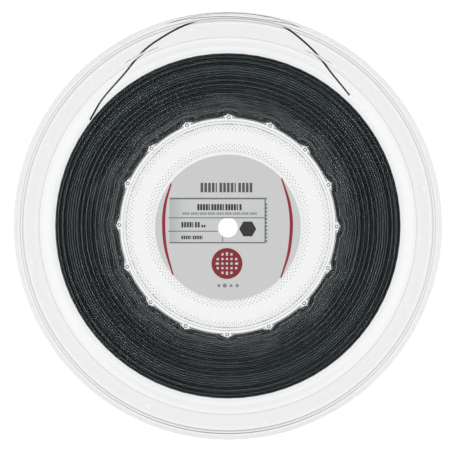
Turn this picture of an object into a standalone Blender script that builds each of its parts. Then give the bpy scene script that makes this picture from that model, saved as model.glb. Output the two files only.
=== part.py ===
"""String reel: two clear moulded halves pressed together on a pinned drum, wound with 200 m of black string.

Metres, +Z up. The reel stands on its rim with its axis along Y, its centre at the origin and its labelled
front half towards -Y. Angles on the reel are counted from +X towards +Z, as seen from the front.
Each turned piece is modelled about its own +Z, which points out of the reel, and is then turned onto Y.
"""

from math import cos, pi, radians, sin

import bmesh
import bpy
from mathutils import Vector

# Flanges
RIM_R = 0.1370  # outside radius of both flanges
HALF_WIDTH = 0.0130  # from the joint plane to the rim's outer face
FLANGE_WALL = 0.0016
WINDING_ROOM = 0.0085  # from the joint plane to a flange's inner face
FLARE_IN_R = 0.1130  # the flange flares outwards from here ...
FLARE_OUT_R = 0.1227  # ... to here, and runs flat again
FLARE_STEPS = 4
BEAD_R = 0.1332  # inner edge of the thicker bead round the rim
BEAD_PROUD = 0.0004  # how far the bead stands out of the outer band
BEAD_WALL = 0.0026
BEAD_ROUND = 0.0007
TIE_HOLE_R = 0.00125  # small holes in the outer band, where a string's end is tucked in
TIE_HOLE_CIRCLE_R = 0.1281
TIE_HOLES = 4
FRONT_HOLE_ANGLE = 10.7  # degrees, the first of the front half's holes
REAR_HOLE_ANGLE = 65.8

# Hub web and drum
BORE_R = 0.0080
WEB_IN = 0.0084  # from the joint plane to the web's inner face
RECESS_R = 0.0483  # the label's recess in the web
RECESS_DEPTH = 0.0007
HUB_R = 0.0731  # the hub's face stands out of the flange as far as here ...
HUB_EDGE_R = 0.0759  # ... and slopes down to it here
HUB_PROUD = 0.0006
DRUM_R = 0.0694
DRUM_WALL = 0.0020
ROOT_CHAMFER = 0.0020  # where the drum meets the flange
JOINT_GAP = 0.0003  # between the two halves' drum edges
BOSSES = 16
BOSS_CIRCLE_R = 0.0698
BOSS_R = 0.00235
BOSS_ANGLE = 89.6  # degrees, the boss nearest the top
PIN_R = 0.00095
SOCKET_R = 0.00125
PIN_LENGTH = 0.0050
SOCKET_DEPTH = 0.0060

# String and label
TOUCH_GAP = 0.0003  # kept between pieces that touch
WINDING_R = 0.1110
WINDING_IN_R = 0.0726
WINDING_EDGE = 0.0010  # the worn-off corners of the winding's outside
STRING_R = 0.000625
TAIL_POINTS = 72
LABEL_R = 0.0468
LABEL_HOLE_R = 0.0063
LABEL_THICK = 0.00025
LABEL_DROP = 0.0011  # the label is stuck on this far below the centre

# The string's loose end, in X, Y, Z: off the winding, up over it between the rims, and down to its cut end.
TAIL_ROUTE = [
    (-0.0888, -0.0020, 0.0683),
    (-0.0865, -0.0020, 0.0723),
    (-0.0819, -0.0018, 0.0803),
    (-0.0755, -0.0015, 0.0883),
    (-0.0686, -0.0012, 0.0962),
    (-0.0600, -0.0008, 0.1067),
    (-0.0525, -0.0005, 0.1145),
    (-0.0435, -0.0002, 0.1209),
    (-0.0345, 0.0000, 0.1262),
    (-0.0243, 0.0003, 0.1308),
    (-0.0125, 0.0005, 0.1344),
    (0.0020, 0.0006, 0.1360),
    (0.0150, 0.0005, 0.1354),
    (0.0265, 0.0003, 0.1330),
    (0.0366, 0.0000, 0.1282),
    (0.0462, -0.0004, 0.1213),
    (0.0577, -0.0010, 0.1104),
    (0.0686, -0.0016, 0.0966),
    (0.0785, -0.0020, 0.0841),
]

STEPS = 64  # facets round a turned piece
SMALL_STEPS = 12  # facets round a pin, a socket and a hole
BOSS_STEPS = 16
AXIS_TURN = {"front": pi / 2, "rear": -pi / 2}  # about X, from a piece's own +Z to the reel's -Y or +Y


def clear_scene():
    for old in list(bpy.data.objects):
        bpy.data.objects.remove(old)


def collection(name):
    made = bpy.data.collections.new(name)
    bpy.context.scene.collection.children.link(made)
    return made


def material(name, colour, roughness, transmission=0.0):
    made = bpy.data.materials.new(name)
    made.use_nodes = True
    shader = made.node_tree.nodes["Principled BSDF"]
    shader.inputs["Base Color"].default_value = (*colour, 1)
    shader.inputs["Roughness"].default_value = roughness
    shader.inputs["Metallic"].default_value = 0
    shader.inputs["Transmission Weight"].default_value = transmission
    return made


def turned(name, profile, home, side):
    """A closed (radius, height) profile turned round the piece's own axis, with that axis laid along Y."""
    mesh = bpy.data.meshes.new(name)
    build = bmesh.new()
    points = [build.verts.new((radius, 0, height)) for radius, height in profile]
    for start, end in zip(points, points[1:] + points[:1]):
        build.edges.new((start, end))
    build.to_mesh(mesh)
    build.free()
    made = bpy.data.objects.new(name, mesh)
    home.objects.link(made)
    made.rotation_euler.x = AXIS_TURN[side]
    screw = made.modifiers.new("Turn", "SCREW")
    screw.axis = "Z"
    screw.steps = screw.render_steps = STEPS
    screw.use_merge_vertices = True
    screw.merge_threshold = 0.00001
    screw.use_smooth_shade = True
    return made


def ring_of_rods(name, home, side, angles, circle_r, rod_r, low, high, sides):
    """Separate closed rods along the reel's axis, one at each angle, as the operand of a Boolean."""
    build = bmesh.new()
    for angle in angles:
        rod = bmesh.ops.create_cone(
            build, cap_ends=True, segments=sides, radius1=rod_r, radius2=rod_r, depth=high - low
        )
        place = Vector((circle_r * cos(angle), circle_r * sin(angle), (low + high) / 2))
        bmesh.ops.translate(build, verts=rod["verts"], vec=place)
    mesh = bpy.data.meshes.new(name)
    build.to_mesh(mesh)
    build.free()
    made = bpy.data.objects.new(name, mesh)
    home.objects.link(made)
    made.rotation_euler.x = AXIS_TURN[side]
    made.hide_render = True
    made.display_type = "WIRE"
    return made


def combine(target, operand, operation):
    boolean = target.modifiers.new(operand.name, "BOOLEAN")
    boolean.operation = operation
    boolean.solver = "EXACT"
    boolean.object = operand


def flare(face_in, face_out):
    """Points of the smooth step between the flange's flat part and its outer band."""
    points = []
    for step in range(FLARE_STEPS + 1):
        share = step / FLARE_STEPS
        rise = (1 - cos(pi * share)) / 2
        radius = FLARE_IN_R + share * (FLARE_OUT_R - FLARE_IN_R)
        points.append((radius, face_in + rise * (face_out - face_in)))
    return points


def half_profile():
    """One moulding's section: down the outer face from the bore to the rim, and back along the inner face."""
    face = WINDING_ROOM + FLANGE_WALL
    band = HALF_WIDTH - BEAD_PROUD
    hub_face = face + HUB_PROUD
    floor = hub_face - RECESS_DEPTH
    hub = [(BORE_R, floor), (RECESS_R, floor), (RECESS_R, hub_face), (HUB_R, hub_face), (HUB_EDGE_R, face)]
    outer = flare(face, band)
    bead = [
        (BEAD_R - BEAD_PROUD, band),
        (BEAD_R, HALF_WIDTH),
        (RIM_R - BEAD_ROUND, HALF_WIDTH),
        (RIM_R, HALF_WIDTH - BEAD_ROUND),
        (RIM_R, HALF_WIDTH - BEAD_WALL + BEAD_ROUND),
        (RIM_R - BEAD_ROUND, HALF_WIDTH - BEAD_WALL),
        (BEAD_R, HALF_WIDTH - BEAD_WALL),
        (BEAD_R - BEAD_ROUND, band - FLANGE_WALL),
    ]
    inner = flare(WINDING_ROOM, band - FLANGE_WALL)[::-1]
    drum = [
        (DRUM_R + ROOT_CHAMFER, WINDING_ROOM),
        (DRUM_R, WINDING_ROOM - ROOT_CHAMFER),
        (DRUM_R, JOINT_GAP / 2),
        (DRUM_R - DRUM_WALL, JOINT_GAP / 2),
        (DRUM_R - DRUM_WALL, WEB_IN),
        (BORE_R, WEB_IN),
    ]
    return hub + outer + bead + inner + drum


def spaced(first, count, side):
    """Angles in radians from a first one in degrees, counted as the front sees them."""
    sense = 1 if side == "front" else -1
    return [sense * radians(first + 360 * step / count) for step in range(count)]


def moulded_half(side, hole_angle, plastic, home, cutters):
    half = turned(side + "_half", half_profile(), home, side)
    half.data.materials.append(plastic)
    bosses = spaced(BOSS_ANGLE, BOSSES, side)
    boss_top = WINDING_ROOM + FLANGE_WALL / 2
    boss = ring_of_rods(
        side + "_bosses", cutters, side, bosses, BOSS_CIRCLE_R, BOSS_R, JOINT_GAP / 2, boss_top, BOSS_STEPS
    )
    combine(half, boss, "UNION")
    holes = ring_of_rods(
        side + "_tie_holes",
        cutters,
        side,
        spaced(hole_angle, TIE_HOLES, side),
        TIE_HOLE_CIRCLE_R,
        TIE_HOLE_R,
        WINDING_ROOM,
        HALF_WIDTH + FLANGE_WALL,
        SMALL_STEPS,
    )
    combine(half, holes, "DIFFERENCE")
    return half, bosses


def front_half(plastic, home, cutters):
    half, bosses = moulded_half("front", FRONT_HOLE_ANGLE, plastic, home, cutters)
    sockets = ring_of_rods(
        "sockets", cutters, "front", bosses, BOSS_CIRCLE_R, SOCKET_R, -SOCKET_R, SOCKET_DEPTH, SMALL_STEPS
    )
    combine(half, sockets, "DIFFERENCE")


def rear_half(plastic, home, cutters):
    half, bosses = moulded_half("rear", REAR_HOLE_ANGLE, plastic, home, cutters)
    pins = ring_of_rods(
        "pins", cutters, "rear", bosses, BOSS_CIRCLE_R, PIN_R, -PIN_LENGTH, PIN_LENGTH, SMALL_STEPS
    )
    combine(half, pins, "UNION")


def winding(string, home):
    """The solid that the wound string fills between the flanges."""
    side = WINDING_ROOM - TOUCH_GAP
    profile = [
        (WINDING_IN_R, side),
        (WINDING_R - WINDING_EDGE, side),
        (WINDING_R, side - WINDING_EDGE),
        (WINDING_R, WINDING_EDGE - side),
        (WINDING_R - WINDING_EDGE, -side),
        (WINDING_IN_R, -side),
    ]
    made = turned("string_winding", profile, home, "front")
    made.data.materials.append(string)


def smooth_route(points, count):
    """Points evenly spread over a Catmull-Rom curve through the route's points."""
    ends = [2 * points[0] - points[1], *points, 2 * points[-1] - points[-2]]
    made = []
    for step in range(count):
        where = step * (len(points) - 1) / (count - 1)
        span = min(int(where), len(points) - 2)
        t = where - span
        a, b, c, d = ends[span : span + 4]
        made.append(
            0.5 * (2 * b + (c - a) * t + (2 * a - 5 * b + 4 * c - d) * t**2 + (3 * b - a - 3 * c + d) * t**3)
        )
    return made


def tail(string, home):
    curve = bpy.data.curves.new("string_tail", "CURVE")
    curve.dimensions = "3D"
    curve.bevel_depth = STRING_R
    curve.bevel_resolution = 2
    curve.use_fill_caps = True
    route = smooth_route([Vector(point) for point in TAIL_ROUTE], TAIL_POINTS)
    spline = curve.splines.new("POLY")
    spline.points.add(len(route) - 1)
    for point, place in zip(spline.points, route):
        point.co = (*place, 1)
    curve.materials.append(string)
    home.objects.link(bpy.data.objects.new("string_tail", curve))


def label(paper, home):
    back = WINDING_ROOM + FLANGE_WALL + HUB_PROUD - RECESS_DEPTH + TOUCH_GAP
    profile = [
        (LABEL_HOLE_R, back + LABEL_THICK),
        (LABEL_R, back + LABEL_THICK),
        (LABEL_R, back),
        (LABEL_HOLE_R, back),
    ]
    made = turned("front_label", profile, home, "front")
    made.location.z = -LABEL_DROP
    made.data.materials.append(paper)


def main():
    clear_scene()
    parts = collection("string_reel")
    cutters = collection("cutters")
    plastic = material("clear_polystyrene", (0.94, 0.96, 0.95), 0.06, transmission=1.0)
    string = material("black_monofilament", (0.025, 0.03, 0.033), 0.32)
    paper = material("label_paper", (0.60, 0.61, 0.61), 0.55)
    front_half(plastic, parts, cutters)
    rear_half(plastic, parts, cutters)
    winding(string, parts)
    tail(string, parts)
    label(paper, parts)


main()
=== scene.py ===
"""Looks of the string reel: clear moulded halves, string wound turn by turn, its loose end, a printed label.

Metres, +Z up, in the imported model's frame: the reel stands on its rim, axis along Y, label towards -Y.
Angles round the reel are counted from +X towards +Z, as seen from the front. A height on a half is
measured outwards from the plane where the halves meet: towards -Y on the front half, +Y on the rear one.
"""

import bpy
import numpy as np
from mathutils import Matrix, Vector


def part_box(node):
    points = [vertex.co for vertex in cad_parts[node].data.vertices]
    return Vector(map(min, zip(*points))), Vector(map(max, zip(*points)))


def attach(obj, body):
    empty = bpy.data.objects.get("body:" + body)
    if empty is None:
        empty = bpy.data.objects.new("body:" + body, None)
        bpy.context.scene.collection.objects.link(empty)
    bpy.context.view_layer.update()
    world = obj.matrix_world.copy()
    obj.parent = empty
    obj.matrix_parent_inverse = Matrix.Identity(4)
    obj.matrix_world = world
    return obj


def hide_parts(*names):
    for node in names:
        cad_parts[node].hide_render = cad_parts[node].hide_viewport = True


MM = 0.001

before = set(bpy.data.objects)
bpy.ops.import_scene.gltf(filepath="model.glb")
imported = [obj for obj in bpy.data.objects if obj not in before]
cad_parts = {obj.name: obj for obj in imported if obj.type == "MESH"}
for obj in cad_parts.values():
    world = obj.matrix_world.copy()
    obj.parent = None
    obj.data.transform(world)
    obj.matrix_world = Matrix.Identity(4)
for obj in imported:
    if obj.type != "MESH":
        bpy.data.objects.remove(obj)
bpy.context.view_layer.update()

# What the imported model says
FRONT_LOW, FRONT_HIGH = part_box("front_half")
WINDING_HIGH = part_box("string_winding")[1]
LABEL_LOW, LABEL_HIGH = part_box("front_label")
RIM_R = FRONT_HIGH.x
HALF_WIDTH = -FRONT_LOW.y
WINDING_R = WINDING_HIGH.x
WINDING_SIDE = WINDING_HIGH.y  # from the joint plane to the winding's flat side
LABEL_R = (LABEL_HIGH.x - LABEL_LOW.x) / 2
LABEL_HOLE_R = 6.3 * MM
LABEL_Z = (LABEL_HIGH.z + LABEL_LOW.z) / 2
FLOOR_Z = FRONT_LOW.z

# The halves' section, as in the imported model, with the rounded and moulded details that it leaves out
FLANGE_WALL = 1.6 * MM
WINDING_ROOM = 8.5 * MM
FACE = WINDING_ROOM + FLANGE_WALL  # height of the flange's flat outer face
BEAD_PROUD = 0.4 * MM
BAND = HALF_WIDTH - BEAD_PROUD  # height of the outer band's outer face
BEAD_WALL = 2.6 * MM
BEAD_FOOT_R, BEAD_CREST_R = 132.5 * MM, 134.1 * MM
BEAD_HOLLOW = 0.5 * MM  # the bead thins from its crest to the edge by this much on each face
FLARE_IN_R = 113.0 * MM
FLARE_OUT_R = 121.6 * MM
RING_IN_R, RING_OUT_R = 122.6 * MM, 123.6 * MM  # low moulded ring where the outer band begins
RING_PROUD = 0.24 * MM
EDGE = 0.15 * MM  # the bevel at a corner, and the first mesh step beside it
NEARLY = 1e-9  # slack when a point is compared with one of these sizes
SHELL_COLUMNS = 240  # even mesh steps round a half
HUB_PROUD = 0.6 * MM
HUB_FACE = FACE + HUB_PROUD
HUB_R, HUB_EDGE_R = 73.1 * MM, 75.9 * MM
RECESS_R = 48.3 * MM
RECESS_DEPTH = 0.7 * MM
RECESS_EDGE = 0.7 * MM  # its edge slopes for this far to each side of its radius
BORE_R = 8.0 * MM
WEB_IN = 8.4 * MM
DRUM_R = 69.4 * MM
DRUM_WALL = 2.0 * MM
ROOT_ROUND = 0.7 * MM
JOINT_GAP = 0.3 * MM
BOSSES = 16
BOSS_ANGLE = 89.6
BOSS_CIRCLE_R = 69.8 * MM
BOSS_R = 2.35 * MM
PIN_R, PIN_LENGTH = 0.95 * MM, 5.0 * MM
SOCKET_R, SOCKET_DEPTH = 1.25 * MM, 6.0 * MM
POINT_SHARE = 0.7  # depth of a socket's pointed bottom and a pin's pointed end, as a share of its radius
PEG_SIDES = 20
TIE_HOLES = 4
TIE_HOLE_R = 1.25 * MM
TIE_HOLE_CIRCLE_R = 128.1 * MM
HOLE_ANGLE = {"front": 10.7, "rear": 65.8}
OUTWARD = {"front": -1, "rear": 1}  # sign of Y

# Bands of small pointed pips moulded inside the hub's web, in staggered rows:
# the first row's radius, how many rows, and how many pips go round
PIP_BANDS = [(48.9 * MM, 4, 112), (62.6 * MM, 3, 144)]
PIP_ROW_GAP = 1.2 * MM
PIP_R, PIP_HEIGHT = 0.275 * MM, 0.285 * MM
PIP_SIDES = 8
PIP_SUNK = 0.1 * MM
RIDGE_R = 65.7 * MM  # a fine ring ridge beside them
RIDGE_HEIGHT, RIDGE_HALF = 0.12 * MM, 0.25 * MM

# String
STRING_R = 0.625 * MM
LAYERS = 28
TURNS_PER_LAYER = 12.56
FIRST_LAYER_R = 70.1 * MM  # against the drum, between the bosses
BOSS_RISE = 2.75 * MM  # the first layer over the bosses
BOSS_RISE_HALF = 4.8  # degrees to each side of a boss
BOSS_LAYERS = 10  # the rise is spread out and lost after this many
CLIMB = 0.15  # of a turn, from one layer to the next
SHORTFALL = 1.1 * MM  # about every other layer turns back this far, or half as far, before the flange
TURN_STEPS = 144
STRAND_SIDES = 8
WINDING_SEED = 11
CORE_SIDE = 5 * MM  # half the width of the dark ring hidden among the strands

# Off the winding, up over it between the rims, and down to the cut end.
TAIL_ROUTE = [
    (-0.0888, -0.0020, 0.0683),
    (-0.0865, -0.0020, 0.0723),
    (-0.0819, -0.0018, 0.0803),
    (-0.0755, -0.0015, 0.0883),
    (-0.0686, -0.0012, 0.0962),
    (-0.0600, -0.0008, 0.1067),
    (-0.0525, -0.0005, 0.1145),
    (-0.0435, -0.0002, 0.1209),
    (-0.0345, 0.0000, 0.1262),
    (-0.0243, 0.0003, 0.1308),
    (-0.0125, 0.0005, 0.1344),
    (0.0020, 0.0006, 0.1360),
    (0.0150, 0.0005, 0.1354),
    (0.0265, 0.0003, 0.1330),
    (0.0366, 0.0000, 0.1282),
    (0.0462, -0.0004, 0.1213),
    (0.0577, -0.0010, 0.1104),
    (0.0686, -0.0016, 0.0966),
    (0.0785, -0.0020, 0.0841),
]
TAIL_POINTS = 72


# ---------------------------------------------------------------- helpers


def link(name, data):
    made = bpy.data.objects.new(name, data)
    bpy.context.scene.collection.objects.link(made)
    return made


def piece(made, material, slot, *nodes):
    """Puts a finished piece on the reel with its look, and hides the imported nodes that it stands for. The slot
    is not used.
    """
    made.data.materials.clear()
    made.data.materials.append(material)
    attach(made, "root")
    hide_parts(*nodes)
    return made


def grid_mesh(name, points, around=True, flip=False):
    """A mesh over a grid of points, closed along the first axis, and along the second too if around."""
    rows, columns = points.shape[:2]
    row = np.arange(rows)
    column = np.arange(columns if around else columns - 1)
    i, j = (part.ravel() for part in np.meshgrid(row, column, indexing="ij"))
    next_i, next_j = (i + 1) % rows, (j + 1) % columns
    corners = [i * columns + j, next_i * columns + j, next_i * columns + next_j, i * columns + next_j]
    if flip:
        corners.reverse()
    faces = np.stack(corners, axis=1)
    mesh = bpy.data.meshes.new(name)
    mesh.vertices.add(rows * columns)
    mesh.vertices.foreach_set("co", points.reshape(-1).astype(np.float32))
    mesh.loops.add(faces.size)
    mesh.loops.foreach_set("vertex_index", faces.reshape(-1).astype(np.int32))
    mesh.polygons.add(len(faces))
    mesh.polygons.foreach_set("loop_start", np.arange(0, faces.size, 4, dtype=np.int32))
    mesh.update(calc_edges=True)
    mesh.shade_smooth()
    return mesh


def apply_modifiers(made, smooth_angle=None):
    """The object's mesh as its modifiers leave it, with the modifiers gone."""
    evaluated = made.evaluated_get(bpy.context.evaluated_depsgraph_get())
    mesh = bpy.data.meshes.new_from_object(evaluated)
    made.modifiers.clear()
    made.data = mesh
    if smooth_angle is not None:
        mesh.shade_smooth()
        mesh.set_sharp_from_angle(angle=np.radians(smooth_angle))


def ease(t):
    """From 0 to 1 with level ends."""
    return (1 - np.cos(np.pi * np.clip(t, 0, 1))) / 2


# ---------------------------------------------------------------- materials


def new_material(name):
    made = bpy.data.materials.new(name)
    made.use_nodes = True
    nodes = made.node_tree.nodes
    return made, nodes, made.node_tree.links, nodes["Principled BSDF"]


def noise(nodes, links, scale, detail=2.0):
    """Noise over the object's own coordinates."""
    where = nodes.new("ShaderNodeTexCoord")
    made = nodes.new("ShaderNodeTexNoise")
    made.inputs["Scale"].default_value = scale
    made.inputs["Detail"].default_value = detail
    links.new(where.outputs["Object"], made.inputs["Vector"])
    return made.outputs["Fac"]


def remapped(nodes, links, value, low, high):
    """Noise's usual spread, stretched to run from low to high."""
    made = nodes.new("ShaderNodeMapRange")
    made.inputs["From Min"].default_value = 0.3
    made.inputs["From Max"].default_value = 0.7
    made.inputs["To Min"].default_value = low
    made.inputs["To Max"].default_value = high
    links.new(value, made.inputs["Value"])
    return made.outputs["Result"]


def add_bump(nodes, links, shader, height, distance, strength=1.0):
    made = nodes.new("ShaderNodeBump")
    made.inputs["Distance"].default_value = distance
    made.inputs["Strength"].default_value = strength
    links.new(height, made.inputs["Height"])
    links.new(made.outputs["Normal"], shader.inputs["Normal"])


def clear_plastic():
    """Clear moulded polystyrene with faint flow waves. Lamps shine through it."""
    made, nodes, links, shader = new_material("clear_plastic")
    shader.inputs["Base Color"].default_value = (0.985, 0.99, 0.988, 1)
    shader.inputs["Transmission Weight"].default_value = 1.0
    shader.inputs["IOR"].default_value = 1.5
    shader.inputs["Roughness"].default_value = 0.0
    add_bump(nodes, links, shader, noise(nodes, links, 55, 1.0), 0.00005)
    path = nodes.new("ShaderNodeLightPath")
    clear = nodes.new("ShaderNodeBsdfTransparent")
    clear.inputs["Color"].default_value = (0.93, 0.94, 0.935, 1)
    mix = nodes.new("ShaderNodeMixShader")
    links.new(path.outputs["Is Shadow Ray"], mix.inputs["Fac"])
    links.new(shader.outputs["BSDF"], mix.inputs[1])
    links.new(clear.outputs["BSDF"], mix.inputs[2])
    links.new(mix.outputs["Shader"], nodes["Material Output"].inputs["Surface"])
    return made


def black_string():
    """Black polyester monofilament, dark and smooth, with a painted sheen: its colour is paled towards grey by an
    amount that varies from turn to turn.
    """
    made, nodes, links, shader = new_material("black_string")
    tone = nodes.new("ShaderNodeMix")
    tone.data_type = "RGBA"
    # Tone A is the string's own unlit black; tone B is the grey of the painted sheen, mixed in turn by turn by a
    # point attribute.
    tone.inputs["A"].default_value = (0.001, 0.0016, 0.0020, 1)
    tone.inputs["B"].default_value = (0.0240, 0.0310, 0.0345, 1)
    shader.inputs["Specular Tint"].default_value = (0.86, 0.97, 1.0, 1)
    shader.inputs["Specular IOR Level"].default_value = 0.45
    painted_sheen = nodes.new("ShaderNodeAttribute")
    painted_sheen.attribute_name = "painted_sheen"
    links.new(painted_sheen.outputs["Fac"], tone.inputs["Factor"])
    links.new(tone.outputs["Result"], shader.inputs["Base Color"])
    links.new(remapped(nodes, links, noise(nodes, links, 300), 0.70, 0.76), shader.inputs["Roughness"])
    return made


def paper(name, colour, roughness=0.5, fade=None):
    """Coated paper or ink on it, with a slight mottle.

    A fade is where it starts and ends along X, and the share of the colour that is left at its start.
    """
    made, nodes, links, shader = new_material(name)
    tone = nodes.new("ShaderNodeMix")
    tone.data_type = "RGBA"
    tone.inputs["A"].default_value = (*(part * 0.97 for part in colour), 1)
    tone.inputs["B"].default_value = (*(part * 1.02 for part in colour), 1)
    links.new(noise(nodes, links, 700, 4.0), tone.inputs["Factor"])
    links.new(tone.outputs["Result"], shader.inputs["Base Color"])
    if fade:
        where = nodes.new("ShaderNodeTexCoord")
        parts = nodes.new("ShaderNodeSeparateXYZ")
        links.new(where.outputs["Object"], parts.inputs["Vector"])
        share = nodes.new("ShaderNodeMapRange")
        share.interpolation_type = "SMOOTHSTEP"
        links.new(parts.outputs["X"], share.inputs["Value"])
        for socket, value in zip(("From Min", "From Max", "To Min"), fade):
            share.inputs[socket].default_value = value
        faded = nodes.new("ShaderNodeMix")
        faded.data_type = "RGBA"
        faded.blend_type = "MULTIPLY"
        faded.inputs["Factor"].default_value = 1.0
        links.new(tone.outputs["Result"], faded.inputs["A"])
        links.new(share.outputs["Result"], faded.inputs["B"])
        links.new(faded.outputs["Result"], shader.inputs["Base Color"])
    shader.inputs["Roughness"].default_value = roughness
    add_bump(nodes, links, shader, noise(nodes, links, 1500, 3.0), 0.00002, 0.3)
    return made


# ---------------------------------------------------------------- camera and cord


def camera():
    """Square on to the front, from far enough to see the rear rim just inside the front one."""
    data = bpy.data.cameras.new("camera")
    distance = 1.8
    seen = 0.2895  # metres across the view, at the front rim
    data.sensor_width = 36
    data.lens = data.sensor_width * (distance - HALF_WIDTH) / seen
    data.clip_end = 100
    made = link("camera", data)
    made.location = (-0.0012, -distance, -0.0001)
    made.rotation_euler = (np.pi / 2, 0, 0)
    bpy.context.scene.camera = made


def smooth_route(points, count):
    """Points evenly spread over a Catmull-Rom curve through the route's points."""
    ends = [2 * points[0] - points[1], *points, 2 * points[-1] - points[-2]]
    made = []
    for step in range(count):
        where = step * (len(points) - 1) / (count - 1)
        span = min(int(where), len(points) - 2)
        t = where - span
        a, b, c, d = ends[span : span + 4]
        made.append(
            0.5 * (2 * b + (c - a) * t + (2 * a - 5 * b + 4 * c - d) * t**2 + (3 * b - a - 3 * c + d) * t**3)
        )
    return made


def string_tail(material):
    """The loose end, cut off square."""
    curve = bpy.data.curves.new("loose_string_end", "CURVE")
    curve.dimensions = "3D"
    curve.bevel_depth = STRING_R
    curve.bevel_resolution = 3
    curve.use_fill_caps = True
    route = smooth_route([Vector(point) for point in TAIL_ROUTE], TAIL_POINTS)
    spline = curve.splines.new("POLY")
    spline.points.add(len(route) - 1)
    for point, place in zip(spline.points, route):
        point.co = (*place, 1)
    made = piece(link("loose_string_end", curve), material, "black_string", "string_tail")


# ---------------------------------------------------------------- moulded halves


def arc(centre, radius, start, end, steps):
    """Points of a circular arc in (radius, height), angles in degrees."""
    angles = np.radians(np.linspace(start, end, steps + 1))
    return [(centre[0] + radius * np.cos(a), centre[1] + radius * np.sin(a)) for a in angles]


def slope(start, end, steps):
    """A smooth S between two (radius, height) points."""
    shares = np.linspace(0, 1, steps + 1)
    return [(start[0] + t * (end[0] - start[0]), start[1] + ease(t) * (end[1] - start[1])) for t in shares]


def level(start, end, steps, height):
    return [(radius, height) for radius in np.linspace(start, end, steps + 1)]


def half_section():
    """One half's closed section: out along the outer face from bore to rim, and back along the inner one."""
    edge = EDGE
    floor = HUB_FACE - RECESS_DEPTH
    hub = [(BORE_R, floor - edge), (BORE_R + edge, floor)]
    hub += level(BORE_R + 2 * edge, RECESS_R - RECESS_EDGE - edge, 3, floor)
    hub += slope((RECESS_R - RECESS_EDGE, floor), (RECESS_R + RECESS_EDGE, HUB_FACE), 6)
    hub += level(RECESS_R + RECESS_EDGE + edge, HUB_R - edge, 4, HUB_FACE)
    hub += list(zip(np.linspace(HUB_R, HUB_EDGE_R, 5), np.linspace(HUB_FACE, FACE, 5)))

    flange = level(HUB_EDGE_R + edge, FLARE_IN_R - edge, 5, FACE)
    flange += slope((FLARE_IN_R, FACE), (FLARE_OUT_R, BAND), 12)
    flange += slope((RING_IN_R, BAND), (RING_IN_R + 3 * edge, BAND + RING_PROUD), 3)
    flange += slope((RING_OUT_R - 3 * edge, BAND + RING_PROUD), (RING_OUT_R, BAND), 3)
    flange += level(RING_OUT_R + edge, BEAD_FOOT_R - edge, 3, BAND)

    corner = 0.5 * MM
    low_face = HALF_WIDTH - BEAD_WALL
    shares = np.linspace(0, 1, 9)
    hollow_in_r, hollow_out_r = BEAD_CREST_R + 0.7 * MM, RIM_R - corner
    hollow_r = hollow_in_r + shares * (hollow_out_r - hollow_in_r)
    hollow = BEAD_HOLLOW * np.sin(shares * np.pi / 2)
    bead = slope((BEAD_FOOT_R, BAND), (BEAD_CREST_R, HALF_WIDTH), 5)
    bead += list(zip(hollow_r, HALF_WIDTH - hollow))
    bead += arc((RIM_R - corner, HALF_WIDTH - BEAD_HOLLOW - corner), corner, 75, 0, 4)
    bead += arc((RIM_R - corner, low_face + BEAD_HOLLOW + corner), corner, 0, -75, 4)
    bead += list(zip(hollow_r[::-1], low_face + hollow[::-1]))
    bead += slope((BEAD_CREST_R, low_face), (BEAD_FOOT_R, BAND - FLANGE_WALL), 5)

    inner = level(BEAD_FOOT_R - edge, RING_IN_R, 3, BAND - FLANGE_WALL)
    inner += slope((FLARE_OUT_R, BAND - FLANGE_WALL), (FLARE_IN_R, WINDING_ROOM), 12)
    inner += level(FLARE_IN_R - edge, HUB_EDGE_R, 5, WINDING_ROOM)

    root = (DRUM_R + ROOT_ROUND, WINDING_ROOM - ROOT_ROUND)
    drum = arc(root, ROOT_ROUND, 90, 180, 6)
    drum += [(DRUM_R, height) for height in np.linspace(root[1] - edge, JOINT_GAP / 2 + edge, 5)]
    drum += [(DRUM_R - edge, JOINT_GAP / 2), (DRUM_R - DRUM_WALL + edge, JOINT_GAP / 2)]
    drum += [(DRUM_R - DRUM_WALL, height) for height in np.linspace(JOINT_GAP / 2 + edge, WEB_IN - edge, 5)]
    web = [(DRUM_R - DRUM_WALL - edge, WEB_IN), (RIDGE_R + RIDGE_HALF, WEB_IN)]
    web += [(RIDGE_R, WEB_IN - RIDGE_HEIGHT), (RIDGE_R - RIDGE_HALF, WEB_IN)]
    web += level(60 * MM, BORE_R + edge, 5, WEB_IN)
    return np.array(hub + flange + bead + inner + drum + web + [(BORE_R, WEB_IN + edge)])


def boss_angles():
    return np.radians(BOSS_ANGLE + np.arange(BOSSES) * 360 / BOSSES)


def half_angles():
    """Mesh angles: even ones all round, and close ones over each boss."""
    even = np.linspace(0, 2 * np.pi, SHELL_COLUMNS, endpoint=False)
    half = np.array([0.5, 1.0, 1.45, 1.8, 2.05, 2.22, 2.33, 2.395, 2.47])
    near = np.radians(np.concatenate([-half, [0], half]))
    bosses = (boss_angles()[:, None] + near).ravel() % (2 * np.pi)
    angles = np.sort(np.concatenate([even, bosses]))
    keep = np.concatenate([[True], np.diff(angles) > np.radians(0.03)])
    return angles[keep]


def boss_reach(angles):
    """How far the bosses' outlines reach outwards and inwards along each angle, where they do."""
    step = 2 * np.pi / BOSSES
    off = (angles - np.radians(BOSS_ANGLE) + step / 2) % step - step / 2
    across = BOSS_R**2 - (BOSS_CIRCLE_R * np.sin(off)) ** 2
    over = across > 0
    half = np.sqrt(np.where(over, across, 0))
    middle = BOSS_CIRCLE_R * np.cos(off)
    return np.where(over, middle + half, 0), np.where(over, middle - half, 1)


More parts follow.
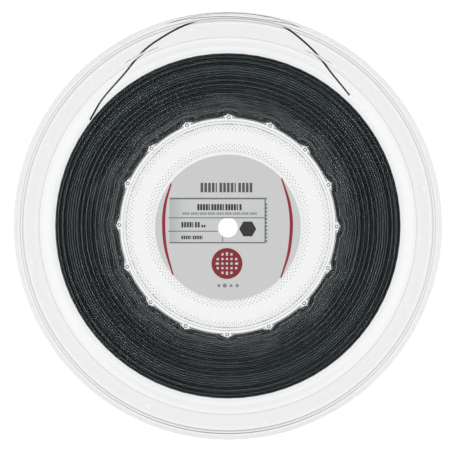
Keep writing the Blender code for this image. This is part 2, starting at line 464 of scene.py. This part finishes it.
def rods(name, angles, circle_r, rod_r, low, high, sides, point=0.0):
    """Closed rods along Y, from low to high, as one mesh object. The low end may be pointed."""
    turn = np.linspace(0, 2 * np.pi, sides, endpoint=False)
    verts, faces = [], []
    for angle in angles:
        base = len(verts)
        x, z = circle_r * np.cos(angle), circle_r * np.sin(angle)
        for y in (low, high):
            verts += [(x + rod_r * np.cos(a), y, z + rod_r * np.sin(a)) for a in turn]
        verts.append((x, low - point, z))
        faces += [[base + 2 * sides, base + k, base + (k + 1) % sides] for k in range(sides)]
        faces.append([base + sides + k for k in reversed(range(sides))])
        for k in range(sides):
            after = (k + 1) % sides
            faces.append([base + k, base + sides + k, base + sides + after, base + after])
    mesh = bpy.data.meshes.new(name)
    mesh.from_pydata(verts, [], faces)
    return link(name, mesh)


def pips(name, outward):
    """All of one web's pips, as cones with their feet sunk in the web."""
    turn = np.linspace(0, 2 * np.pi, PIP_SIDES, endpoint=False)
    foot_r = PIP_R * (1 + PIP_SUNK / PIP_HEIGHT)
    foot_y, tip_y = outward * (WEB_IN + PIP_SUNK), outward * (WEB_IN - PIP_HEIGHT)
    verts, faces = [], []
    for first, rows, count in PIP_BANDS:
        for row in range(rows):
            circle_r = first + row * PIP_ROW_GAP
            for number in range(count):
                angle = (number + row / 2) * 2 * np.pi / count
                x, z = circle_r * np.cos(angle), circle_r * np.sin(angle)
                base = len(verts)
                verts += [(x + foot_r * np.cos(a), foot_y, z + foot_r * np.sin(a)) for a in turn]
                verts.append((x, tip_y, z))
                ring = [base + k for k in range(PIP_SIDES)]
                tip = base + PIP_SIDES
                sides = [(ring[k], tip, ring[(k + 1) % PIP_SIDES]) for k in range(PIP_SIDES)]
                made = [ring, *sides]
                faces += [face[::-1] for face in made] if outward > 0 else made
    mesh = bpy.data.meshes.new(name)
    mesh.from_pydata(verts, [], faces)
    return link(name, mesh)


def combine(target, operand, operation):
    boolean = target.modifiers.new(operand.name, "BOOLEAN")
    boolean.operation = operation
    boolean.solver = "EXACT"
    boolean.object = operand


def moulded_half(side, material):
    """One half as moulded: pipped hub, bossed drum, flared flange and beaded rim."""
    outward = OUTWARD[side]
    section = half_section()
    angles = half_angles()
    radius = np.repeat(section[:, :1], len(angles), axis=1)
    height = np.repeat(section[:, 1:], len(angles), axis=1)
    reach_out, reach_in = boss_reach(angles)
    point_r, near = section[:, 0], 0.5 * MM
    on_wall = section[:, 1] < WINDING_ROOM + NEARLY
    outer_wall = on_wall & (point_r > DRUM_R - near) & (point_r < DRUM_R + ROOT_ROUND + NEARLY)
    drum_in_r = DRUM_R - DRUM_WALL
    inner_wall = on_wall & (point_r < drum_in_r + near) & (point_r > drum_in_r - NEARLY)
    radius[outer_wall] = np.maximum(radius[outer_wall], reach_out[None, :])
    radius[inner_wall] = np.minimum(radius[inner_wall], reach_in[None, :])

    points = np.stack([radius * np.cos(angles), outward * height, radius * np.sin(angles)], axis=-1)
    made = link(side + "_shell", grid_mesh(side + "_shell", points, flip=side == "rear"))
    first = np.radians(HOLE_ANGLE[side])
    holes = first + np.arange(TIE_HOLES) * 2 * np.pi / TIE_HOLES
    low, high = sorted([outward * WINDING_ROOM, outward * (HALF_WIDTH + FLANGE_WALL)])
    cutters = [rods(side + "_holes", holes, TIE_HOLE_CIRCLE_R, TIE_HOLE_R, low, high, 24)]
    combine(made, cutters[0], "DIFFERENCE")
    name, peg_r, low, high, operation = {
        "front": ("sockets", SOCKET_R, -SOCKET_DEPTH, SOCKET_R, "DIFFERENCE"),
        "rear": ("pins", PIN_R, -PIN_LENGTH, PIN_LENGTH, "UNION"),
    }[side]
    cutters.append(
        rods(name, boss_angles(), BOSS_CIRCLE_R, peg_r, low, high, PEG_SIDES, POINT_SHARE * peg_r)
    )
    combine(made, cutters[1], operation)
    cutters.append(pips(side + "_pips", outward))
    combine(made, cutters[2], "UNION")
    apply_modifiers(made, 32)
    for cutter in cutters:
        bpy.data.objects.remove(cutter)
    piece(made, material, "clear_plastic", side + "_half")


# ---------------------------------------------------------------- wound string


def winding_path():
    """The whole wound length's centreline, back and forth between the flanges, and the painted sheen that pales
    its colour along it.
    """
    rng = np.random.default_rng(WINDING_SEED)
    turns = LAYERS * TURNS_PER_LAYER
    turn = np.arange(int(turns * TURN_STEPS) + 1) / TURN_STEPS
    layer = np.floor(np.minimum(turn / TURNS_PER_LAYER, LAYERS - 1e-6))
    within = turn - layer * TURNS_PER_LAYER
    layer_up = np.minimum(layer + ease((within - TURNS_PER_LAYER + CLIMB) / CLIMB), LAYERS - 1)
    angle = np.pi - 2 * np.pi * turn

    # Each layer has its first turn against one flange, crosses over, and ends with a turn against the other
    share = np.clip((within - 1) / (TURNS_PER_LAYER - 2), 0, 1)
    sweep = np.where(layer % 2 == 0, share, 1 - share)
    reach = WINDING_SIDE - STRING_R - 0.05 * MM

    # Each turn lies a little off its place, and drifts smoothly to the next turn's place
    def drift(spread, knots_per_turn):
        knots = int(turns * knots_per_turn) + 2
        where = turn * knots_per_turn
        values = rng.normal(0, spread, knots)
        low = where.astype(int)
        after = values[np.minimum(low + 1, knots - 1)]
        return values[low] + ease(where - low) * (after - values[low])

    pitch = (WINDING_R - STRING_R - FIRST_LAYER_R) / (LAYERS - 1)
    radius = FIRST_LAYER_R + pitch * layer_up + drift(0.08 * MM, 1) + drift(0.02 * MM, 3)

    # How far each layer stops short of the front flange (an even layer at its start, an odd one at its end)
    # and of the rear flange
    every_other = np.arange(LAYERS) % 2
    flipped = rng.random((2, LAYERS)) < 0.2
    short = SHORTFALL * np.where(flipped, 1 - every_other, every_other) * rng.uniform(0.5, 1.0, (2, LAYERS))
    at_start = np.where(every_other == 0, short[0], short[1])
    at_end = np.where(every_other == 0, short[1], short[0])
    begun = np.arange(LAYERS) * TURNS_PER_LAYER
    knots = np.stack([begun, begun + 1, begun + TURNS_PER_LAYER - 1, begun + TURNS_PER_LAYER - CLIMB], axis=1)
    stops = np.stack([at_start, at_start, at_end, at_end], axis=1)
    y = (2 * sweep - 1) * (reach - np.interp(turn, knots.ravel(), stops.ravel()))
    y = np.clip(y + drift(0.06 * MM, 1), -reach, reach)

    # The first layers rise over the bosses
    step = 2 * np.pi / BOSSES
    off = (angle - np.radians(BOSS_ANGLE) + step / 2) % step - step / 2
    lost = np.clip(layer_up / BOSS_LAYERS, 0, 1)
    half = np.radians(BOSS_RISE_HALF) + lost * (step / 2 - np.radians(BOSS_RISE_HALF))
    radius += BOSS_RISE * (1 - lost) * (1 - ease(np.abs(off) / half))
    radius = np.minimum(radius, WINDING_R - STRING_R)
    # Painted sheen: how far each turn's colour is paled towards grey, drifting at random from turn to turn
    painted_sheen = np.clip(0.5 + drift(0.3, 1), 0, 1)
    return np.stack([radius * np.cos(angle), y, radius * np.sin(angle)], axis=-1), painted_sheen


def strand(name, path, painted_sheen):
    """A round strand swept along a path that runs round the reel's axis, with the painted sheen on its points."""
    outward = path.copy()
    outward[:, 1] = 0
    outward /= np.linalg.norm(outward, axis=1, keepdims=True)
    along = np.gradient(path, axis=0)
    along /= np.linalg.norm(along, axis=1, keepdims=True)
    outward -= along * np.sum(outward * along, axis=1, keepdims=True)
    outward /= np.linalg.norm(outward, axis=1, keepdims=True)
    sideways = np.cross(along, outward)
    turn = np.linspace(0, 2 * np.pi, STRAND_SIDES, endpoint=False)
    ring = np.cos(turn)[:, None, None] * outward + np.sin(turn)[:, None, None] * sideways
    points = path[None, :, :] + STRING_R * ring
    mesh = grid_mesh(name, points, around=False)
    # The painted sheen goes on the points, for the string's colour to read
    paleness = mesh.attributes.new("painted_sheen", "FLOAT", "POINT")
    paleness.data.foreach_set("value", np.tile(painted_sheen, STRAND_SIDES).astype(np.float32))
    return link(name, mesh)


def wound_string(material):
    """The wound length in a few stretches, the innermost ones finer for their rises over the bosses.

    A dark ring hidden among the strands closes the chinks that the real string's packing closes.
    """
    core_in, core_out = BOSS_CIRCLE_R + BOSS_R + 0.4 * MM, WINDING_R - 2 * STRING_R
    low, high = -CORE_SIDE, CORE_SIDE
    section = np.array([(core_in, low), (core_out, low), (core_out, high), (core_in, high)])
    angles = np.linspace(0, 2 * np.pi, 180, endpoint=False)
    radius, height = section[:, :1], section[:, 1:]
    core = np.stack([radius * np.cos(angles), height + 0 * angles, radius * np.sin(angles)], axis=-1)
    ring = link("winding_core", grid_mesh("winding_core", core))
    ring.data.set_sharp_from_angle(angle=np.radians(30))
    piece(ring, material, "black_string", "string_winding")

    path, painted_sheen = winding_path()
    steps = TURNS_PER_LAYER * TURN_STEPS
    stretches = [(0, 5, 1), (5, 10, 1), (10, 19, 2), (19, LAYERS, 2)]  # first and last layer, path points per step
    for number, (start, end, stride) in enumerate(stretches, start=1):
        name = "wound_string_" + str(number)
        stretch = slice(int(start * steps), int(end * steps) + 1 + stride, stride)
        piece(strand(name, path[stretch], painted_sheen[stretch]), material, "black_string", "string_winding")


# ---------------------------------------------------------------- label


def label_disc(material):
    """The paper disc, its edges slightly rounded."""
    edge = 0.04 * MM
    front, back = LABEL_LOW.y, LABEL_HIGH.y
    section = [
        (LABEL_HOLE_R, front + edge),
        (LABEL_HOLE_R + edge, front),
        (20 * MM, front),
        (LABEL_R - edge, front),
        (LABEL_R, front + edge),
        (LABEL_R, back),
        (LABEL_HOLE_R, back),
    ]
    angles = np.linspace(0, 2 * np.pi, 180, endpoint=False)
    radius = np.array([point[0] for point in section])[:, None]
    depth = np.array([point[1] for point in section])[:, None]
    points = np.stack(
        [radius * np.cos(angles), depth + 0 * angles, radius * np.sin(angles) + LABEL_Z], axis=-1
    )
    made = link("hub_label", grid_mesh("hub_label", points))
    made.data.set_sharp_from_angle(angle=np.radians(30))
    piece(made, material, "label_paper", "front_label")


def rectangle(left, right, low, high):
    return [(left, low), (right, low), (right, high), (left, high)]


def holed_panel(left, right, low, high, radius):
    """A plain field in two halves that leave the label's hole clear."""
    middle = LABEL_Z / MM
    arc = np.radians(np.linspace(-90, 90, 31))
    across, up = radius * np.cos(arc), middle + radius * np.sin(arc)
    left_half = [(left, low), (0.0, low), *zip(-across, up), (0.0, high), (left, high)]
    right_half = [(right, low), (right, high), (0.0, high), *zip(across[::-1], up[::-1]), (0.0, low)]
    return [left_half, right_half]


def round_shape(x, z, radius, sides, first=0.0):
    angles = np.radians(first) + np.arange(sides) * 2 * np.pi / sides
    return [(x + radius * np.cos(a), z + radius * np.sin(a)) for a in angles]


def greeked(left, right, low, high, bars, space):
    """A stand-in for a line of lettering: plain bars, with a wider space after some."""
    pitch = (right - left) / bars
    return [
        rectangle(left + k * pitch, left + (k + 1) * pitch - space * (2.2 if k % 5 == 4 else 1), low, high)
        for k in range(bars)
    ]


def strip(points, widths):
    """A curved strip through the points, as separate four-sided lengths."""
    route = smooth_route([Vector((*point, width)) for point, width in zip(points, widths)], 24)
    edges = [((p.x - p.z / 2, p.y), (p.x + p.z / 2, p.y)) for p in route]
    return [[b[0], b[1], a[1], a[0]] for a, b in zip(edges, edges[1:])]


def ring_and_grid(x, z, outer, inner, bar, bars):
    """The generic mark: a ring, and the upright and level bars of a square mesh that fills it."""
    steps = np.linspace(0, 2 * np.pi, 49)
    around = [(np.cos(a), np.sin(a)) for a in steps]
    ring = [
        [(x + inner * a[0], z + inner * a[1]), (x + outer * a[0], z + outer * a[1])]
        + [(x + outer * b[0], z + outer * b[1]), (x + inner * b[0], z + inner * b[1])]
        for a, b in zip(around, around[1:])
    ]
    upright, across = [], []
    for off in np.linspace(-inner, inner, bars + 2)[1:-1]:
        half = np.sqrt(inner**2 - off**2) + 0.2
        upright.append(rectangle(x + off - bar / 2, x + off + bar / 2, z - half, z + half))
        across.append(rectangle(x - half, x + half, z + off - bar / 2, z + off + bar / 2))
    return ring, upright, across


def printed(name, shapes, lift, material):
    """Ink on the label: thin flat bodies, from outlines in millimetres across and up from the reel's axis."""
    verts, faces = [], []
    front, back = LABEL_LOW.y - lift, LABEL_LOW.y + 0.02 * MM
    for outline in shapes:
        count, base = len(outline), len(verts)
        for y in (front, back):
            verts += [(x * MM, y, z * MM) for x, z in outline]
        faces.append([base + k for k in range(count)])
        faces.append([base + count + k for k in reversed(range(count))])
        for k in range(count):
            after = (k + 1) % count
            faces.append([base + k, base + count + k, base + count + after, base + after])
    mesh = bpy.data.meshes.new(name)
    mesh.from_pydata(verts, [], faces)
    piece(link(name, mesh), material, "label_paper", "front_label")


def label_print():
    """A plain layout: a title, a ruled panel, a mark and two coloured edges, with no words."""
    panel = holed_panel(-37.4, 24.0, -10.7, 17.5, LABEL_HOLE_R / MM + 0.1)
    rules = [
        rectangle(-37.4, 25.0, 17.0, 18.0),
        rectangle(-38.0, 23.5, 4.85, 5.45),
        rectangle(-38.2, -6.6, -3.75, -3.15),
        rectangle(-37.6, 24.3, -11.2, -10.4),
        rectangle(23.5, 24.3, -10.4, 17.0),
        rectangle(-3.6, -3.1, -10.4, -7.0),
        rectangle(-3.6, -3.1, 4.5, 4.85),
    ]
    rules += [rectangle(24.3, 25.2, low, low + 1.3) for low in np.arange(-10.4, 15.0, 2.35)]
    title = greeked(-17.5, 16.4, 21.5, 27.6, 14, 0.75)
    words = greeked(-19.6, 9.2, 10.0, 13.9, 16, 0.45)
    words += greeked(-29.8, -17.6, -1.0, 2.4, 7, 0.5)
    words += greeked(-17.0, -14.0, -1.0, 0.6, 2, 0.4)
    words += greeked(-29.8, -15.3, -8.6, -6.3, 10, 0.45)
    small = greeked(-29.0, 18.8, 7.1, 8.6, 44, 0.35)
    small += [round_shape(-5.8, -38.3, 1.2, 4, 45), round_shape(-2.0, -38.3, 1.3, 20)]
    small += [round_shape(2.0, -38.4, 1.4, 3, 90), round_shape(5.9, -38.3, 1.3, 4)]
    dark = [round_shape(12.7, -2.0, 5.5, 6)]
    widths = [0.9, 1.8, 2.1, 1.8, 0.9]
    red = strip([(-36.4, 27.2), (-40.2, 14.0), (-41.2, 0.5), (-39.8, -15.0), (-35.2, -31.5)], widths)
    red += strip([(34.5, 30.6), (39.2, 15.0), (40.7, 0.5), (39.0, -17.0), (34.0, -33.4)], widths)
    ring, upright, across = ring_and_grid(-0.6, -24.2, 9.9, 7.3, 1.5, 4)
    panel_ink = paper("panel_ink", (0.435, 0.44, 0.445), fade=(-0.040, -0.025, 0.74))
    printed("label_panel", panel, 0.02 * MM, panel_ink)
    printed("label_rules", rules, 0.04 * MM, paper("rule_ink", (0.115, 0.12, 0.125)))
    printed("label_title", title, 0.03 * MM, paper("title_ink", (0.060, 0.062, 0.065)))
    printed("label_words", words, 0.05 * MM, paper("word_ink", (0.022, 0.023, 0.025)))
    printed("label_small_print", small, 0.05 * MM, paper("small_ink", (0.16, 0.165, 0.17)))
    printed("label_shape", dark, 0.06 * MM, paper("shape_ink", (0.02, 0.021, 0.022)))
    printed("label_edges", red, 0.03 * MM, paper("red_ink", (0.22, 0.008, 0.016)))
    mark_ink = paper("mark_ink", (0.18, 0.007, 0.014))
    printed("label_mark_ring", ring, 0.05 * MM, mark_ink)
    printed("label_mark_uprights", upright, 0.04 * MM, mark_ink)
    printed("label_mark_bars", across, 0.03 * MM, mark_ink)


# ---------------------------------------------------------------- stage


def floor():
    """A wide pale floor that the reel stands on, bright enough to show no shadow."""
    radius = 7.0
    bpy.ops.mesh.primitive_circle_add(vertices=128, radius=radius, fill_type="NGON", location=(0, 0, FLOOR_Z))
    made = bpy.context.object
    made.name = "floor"
    material, _, _, shader = new_material("floor")
    shader.inputs["Base Color"].default_value = (0.30, 0.30, 0.30, 1)
    shader.inputs["Roughness"].default_value = 0.9
    shader.inputs["Specular IOR Level"].default_value = 0.0
    shader.inputs["Emission Color"].default_value = (1, 1, 1, 1)
    shader.inputs["Emission Strength"].default_value = 0.93
    material.cycles.emission_sampling = "NONE"
    made.data.materials.append(material)
    made.visible_glossy = False
    made.visible_transmission = False
    made.visible_shadow = False


class WorldMaths:
    """Short names for the maths on the world's light."""

    def __init__(self, tree):
        self.nodes, self.links = tree.nodes, tree.links

    def feed(self, value, socket):
        if isinstance(value, bpy.types.NodeSocket):
            self.links.new(value, socket)
        else:
            socket.default_value = value

    def do(self, operation, *values):
        made = self.nodes.new("ShaderNodeMath")
        made.operation = operation
        for value, socket in zip(values, made.inputs):
            self.feed(value, socket)
        return made.outputs["Value"]

    def blend(self, low, high, share):
        rest = self.do("MULTIPLY", low, self.do("SUBTRACT", 1.0, share))
        return self.do("ADD", self.do("MULTIPLY", high, share), rest)

    def rise(self, value, start, end):
        """0 below start and 1 above end, with a smooth run between them."""
        made = self.nodes.new("ShaderNodeMapRange")
        made.interpolation_type = "SMOOTHSTEP"
        made.inputs["From Min"].default_value = start
        made.inputs["From Max"].default_value = end
        self.links.new(value, made.inputs["Value"])
        return made.outputs["Result"]

    def band(self, value, start, full, lessening, end):
        """0, then 1 from full to lessening, then 0 again."""
        return self.do("SUBTRACT", self.rise(value, start, full), self.rise(value, lessening, end))


def studio_light():
    """A white backdrop, grey sides, a dark front, top and bottom, a ring light and a small card at the camera.

    The ring light shows in the string, and the card in the hub's web.
    """
    world = bpy.data.worlds.new("studio")
    bpy.context.scene.world = world
    world.use_nodes = True
    maths = WorldMaths(world.node_tree)
    nodes, links = maths.nodes, maths.links
    direction = nodes.new("ShaderNodeTexCoord")
    parts = nodes.new("ShaderNodeSeparateXYZ")
    links.new(direction.outputs["Generated"], parts.inputs["Vector"])
    y, z = (parts.outputs[name] for name in "YZ")

    white, sides, dark_front, dark_poles = 1.01, 0.72, 0.06, 0.10
    ring_strength, card_strength = 1.1, 0.33
    front = maths.do("MULTIPLY", y, -1.0)
    above = maths.rise(z, 0.42, 0.72)
    below = maths.rise(maths.do("MULTIPLY", z, -1.0), 0.36, 0.66)
    poles = maths.do("MAXIMUM", above, below)
    light = maths.blend(sides, dark_poles, poles)
    light = maths.blend(light, white, maths.rise(y, 0.90, 0.978))
    light = maths.blend(light, dark_front, maths.rise(front, 0.78, 0.86))
    ring_light = maths.band(front, 0.855, 0.88, 0.935, 0.955)
    light = maths.do("ADD", light, maths.do("MULTIPLY", ring_light, ring_strength))
    card = maths.rise(front, 0.9988, 0.9993)
    light = maths.do("ADD", light, maths.do("MULTIPLY", card, card_strength))
    links.new(light, nodes["Background"].inputs["Strength"])
    world.cycles.sampling_method = "AUTOMATIC"
    nodes["Background"].inputs["Color"].default_value = (1, 1, 1, 1)


def lamp(name, place, tilt, strength):
    """A sun, by its angle round the reel's axis and its tilt from straight ahead of the label, in degrees."""
    data = bpy.data.lights.new(name, "SUN")
    data.energy = strength
    data.angle = np.radians(3)
    data.cycles.use_multiple_importance_sampling = False
    made = link(name, data)
    place, tilt = np.radians(place), np.radians(tilt)
    toward = Vector((np.sin(tilt) * np.cos(place), -np.cos(tilt), np.sin(tilt) * np.sin(place)))
    made.rotation_euler = toward.to_track_quat("Z", "Y").to_euler()


def main():
    camera()
    string = black_string()
    string_tail(string)
    plastic = clear_plastic()
    moulded_half("front", plastic)
    moulded_half("rear", plastic)
    wound_string(string)
    label_disc(paper("label_paper", (0.437, 0.442, 0.440)))
    label_print()
    floor()
    studio_light()
    lamp("upper_left_lamp", 142, 66, 2.2)
    lamp("lower_left_lamp", 218, 66, 2.2)
    bpy.context.scene.view_settings.view_transform = "Standard"


main()
